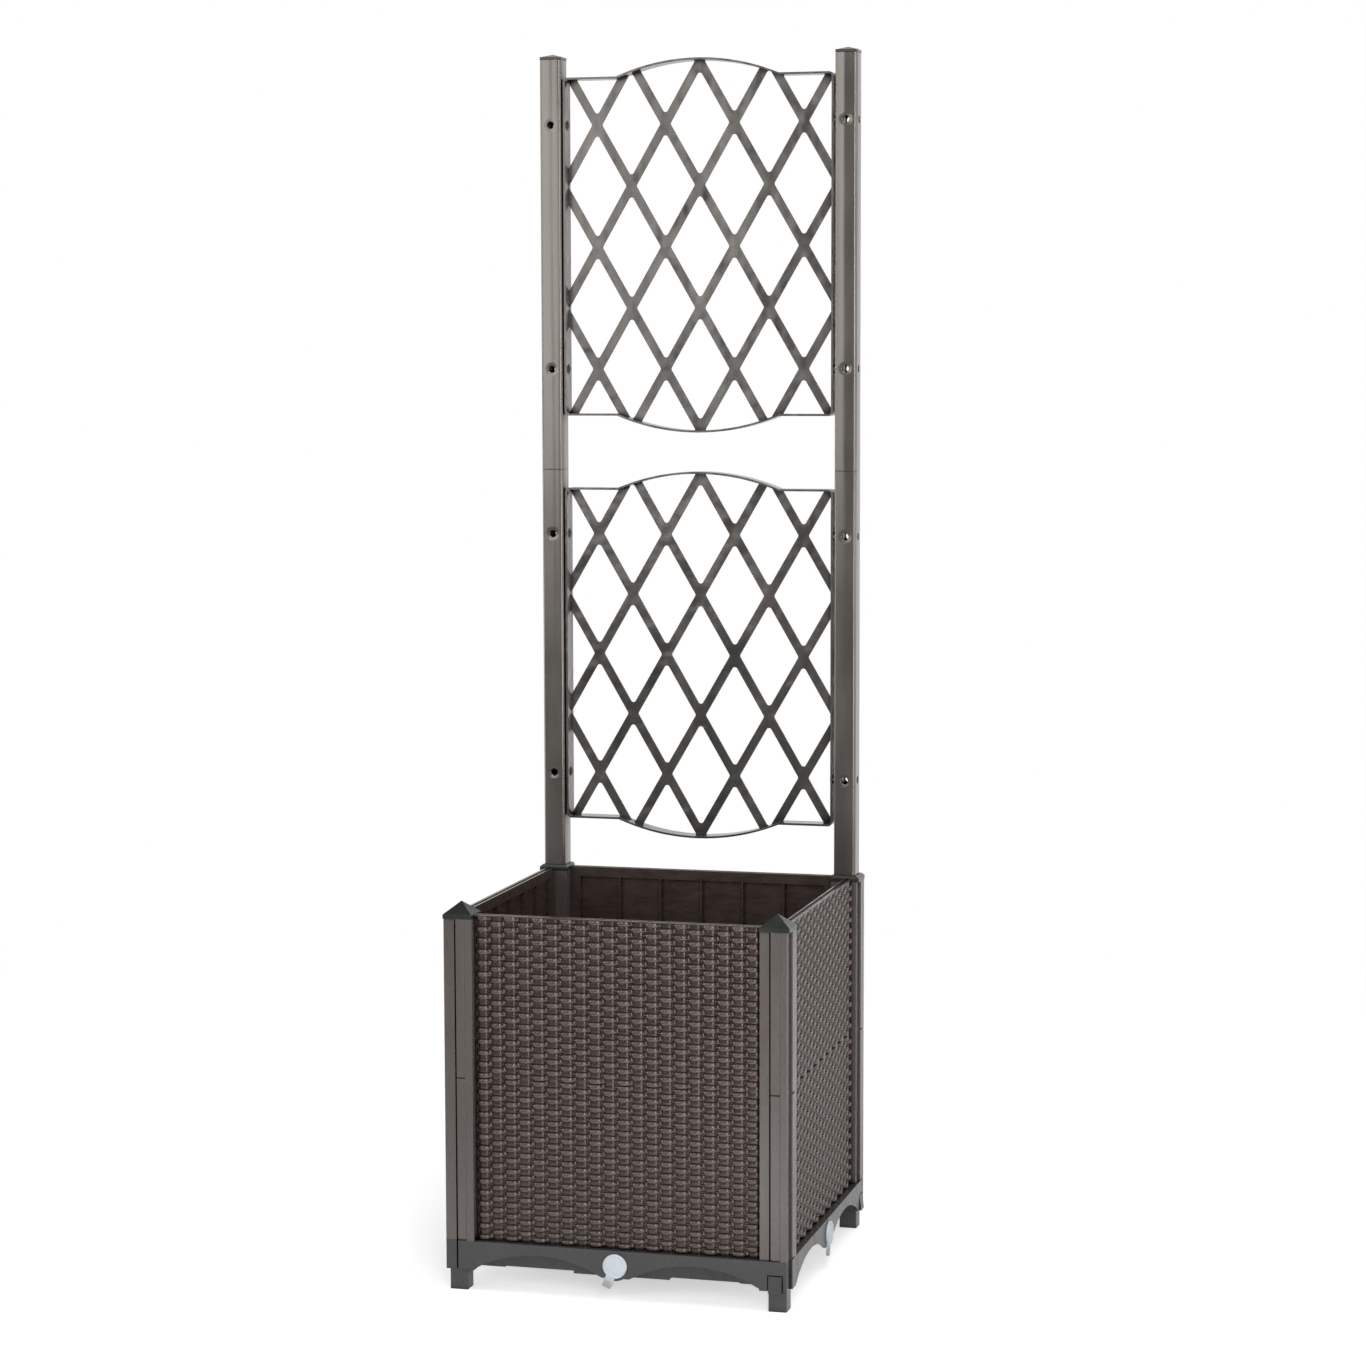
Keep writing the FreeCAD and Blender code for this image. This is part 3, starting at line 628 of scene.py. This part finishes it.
def acrossStrip(w, v, crown, rounding):
    # share of the strip's half width, and depth; the outermost points are its walls' feet on the skin
    wall = 0.5 / w["around"]
    if v < wall or v > 1 - wall:
        return (-1.0 if v < 0.5 else 1.0), w["skin"]
    angle = ((v - wall) / (1 - 2 * wall) - 0.5) * math.pi
    back = 1 - math.cos(angle) ** w["roundPower"]
    return math.sin(angle), min(w["skin"], crown + back * rounding)


def addStrand(bm, w, row, bottom, pitch, uneven):
    left, right = panelLeft + w["edgeGap"], panelRight - w["edgeGap"]
    middle = bottom + (row + 0.5) * pitch

    def place(u, v):
        x = left + u * (right - left)
        column = math.floor(x / w["columnPitch"])
        columnMiddle = (column + 0.5) * w["columnPitch"]
        over = (column + row) % 2 == 0
        away = abs(x - columnMiddle) if over else w["columnPitch"] - abs(x - columnMiddle)

        lift = 1 - smooth((away - w["crest"]) / (w["dive"] - w["crest"]))
        lift *= smooth(min(x - left, right - x) / w["edgeDip"])
        crown = w["crown"] + w["pillow"] * min(1.0, (away / w["crest"]) ** 2)
        if over:
            crown += uneven[row, column]
        front = w["under"] + lift * (crown - w["under"])

        end = "left" if over == (x < columnMiddle) else "right"
        narrowed = w[end + "Taper"] * min(1.0, away / w["dive"]) ** w[end + "Power"]
        half = w["strandHalf"] * (1 - narrowed)
        share, depth = acrossStrip(w, v, front, w["strandRound"])
        return Vector((x, faceY + depth, middle + share * half))

    return bentStrip(bm, w["columns"] * w["perColumn"], w["around"], place)


def addStake(bm, w, column, bottom, pitch):
    middle = (column - w["columns"] / 2 + 0.5) * w["columnPitch"]
    sign = 1 if math.floor(middle / w["columnPitch"]) % 2 == 0 else -1

    def place(u, v):
        z = u * pitch * w["rows"]
        wave = sign * math.cos(math.pi * (z / pitch - 0.5))
        share, depth = acrossStrip(w, v, w["stakeCrown"] + w["stakeWave"] * wave, w["stakeRound"])
        return Vector((middle - share * w["stakeHalf"], faceY + depth, bottom + z))

    return bentStrip(bm, w["rows"] * w["perRow"], w["around"], place)


def addBlock(bm, middle, size):
    bmesh.ops.create_cube(bm, size=1, matrix=Matrix.Translation(middle) @ Matrix.Diagonal((*size, 1)))


def addRim(bm, w, top):
    # a flat rim in front of the open channel in the top edge, and thin webs across it
    rimMiddle = (0, faceY + (w["rimFront"] + w["rimBack"]) / 2, top - w["rimTall"] / 2)
    addBlock(bm, rimMiddle, (panelRight * 2 - w["rimGap"], w["rimBack"] - w["rimFront"], w["rimTall"]))
    tall = w["channelDeep"] - w["toothDrop"]
    for i in range(-w["teeth"] // 2, w["teeth"] // 2 + 1):
        middle = (i * w["toothPitch"], faceY + w["channelMiddle"], top - w["toothDrop"] - tall / 2)
        addBlock(bm, middle, (w["toothThick"], w["channelWide"], tall))


def addPanels(tier, w):
    node = "wicker_panel_" + tier
    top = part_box(node + "_front")[1].z
    bottom = panelBottoms[tier]
    pitch = (top - bottom) / w["rows"]
    dice = random.Random(w["seed"])
    uneven = {(row, column): dice.uniform(-1, 1) * w["unevenness"]
              for row in range(w["rows"]) for column in range(-w["columns"] // 2 - 1, w["columns"] // 2 + 1)}

    # the node's own ribbed back and edges, behind the weave
    bm = openedCopy(node + "_front", faceY + w["skin"])
    if tier == "upper":
        addRim(bm, w, top)
    # painted shade by depth: 0 on the skin behind the weave, fully shaded, up to 1 on the strands' crowns
    reliefShade = bm.verts.layers.float.new("reliefShade")
    for vert in bm.verts:
        vert[reliefShade] = w["bodyShade"] if abs(vert.co.y - faceY - w["skin"]) > 10 * mergeGap else 0

    faces = set()
    for row in range(w["rows"]):
        faces |= addStrand(bm, w, row, bottom, pitch, uneven)
    for column in range(w["columns"]):
        faces |= addStake(bm, w, column, bottom, pitch)
    for vert in {vert for face in faces for vert in face.verts}:
        vert[reliefShade] = smooth((faceY + w["skin"] - vert.co.y) / (w["skin"] - w["crown"]))
    if sum(face.normal.y * face.calc_area() for face in faces) > 0:
        bmesh.ops.reverse_faces(bm, faces=list(faces))
    addToEachSide(bm, "woven_panel_" + tier, "wicker_plastic", node, dict.fromkeys(sides, "root"))


for tierName in tiers:
    addPanels(tierName, wicker)
say("wicker panels woven")

plugShape = {
    "cut": 0.8 * mm,  # how far behind the front face the moulded disc is opened
    "dish": [(13.6, 0.8), (13.15, 0.3), (12.7, 0.06), (12.2, 0.0), (11.7, 0.08), (11.2, 0.35), (10.6, 0.5),
             (7.0, 0.6), (0.0, 0.65)],  # radius and depth behind the front face, in millimetres
    "around": 72,
    "turn": 23,  # degrees that the pull tab is turned by
    "tabFace": 0.85 * mm,
    "thinOver": 2.0 * mm,
    "ribs": (18.4 * mm, 20.4 * mm, 22.4 * mm),
    "ribSize": (6.4 * mm, 0.7 * mm, 0.8 * mm),
}


def addPlugs(p):
    # the moulded plug with a dished face inside a raised rim, and grip ribs across its pull tab
    low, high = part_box("drain_plug_front")
    front, radius = low.y, high.x
    centre = Vector((0, 0, high.z - radius))
    bm = openedCopy("drain_plug_front", front + p["cut"])
    chain = [bm.verts.new(centre + Vector((out * mm, front + back * mm, 0))) for out, back in p["dish"]]
    edges = [bm.edges.new(pair) for pair in zip(chain, chain[1:])]
    bmesh.ops.spin(bm, geom=chain + edges, cent=centre, axis=(0, 1, 0), dvec=(0, 0, 0),
                   angle=2 * math.pi, steps=p["around"], use_merge=True)
    bm.normal_update()
    for face in bm.faces:
        if face.calc_center_median().y < front + p["cut"]:
            face.smooth = True

    hang = Matrix.Translation(centre) @ Matrix.Rotation(math.radians(p["turn"]), 4, "Y")
    for reach in p["ribs"]:
        place = Matrix.Translation((0, front + p["tabFace"], -reach))
        bmesh.ops.create_cube(bm, size=1, matrix=hang @ place @ Matrix.Diagonal((*p["ribSize"], 1)))
    bmesh.ops.recalc_face_normals(bm, faces=bm.faces)
    thin = bm.verts.layers.float.new("thin")
    for vert in bm.verts:
        vert[thin] = smooth((math.hypot(vert.co.x, vert.co.z - centre.z) - radius) / p["thinOver"])
    bodies = {side: "drain_plug_" + side for side in sides}
    addToEachSide(bm, "dished_plug", "plug_silicone", "drain_plug", bodies)


addPlugs(plugShape)
say("plugs dished")
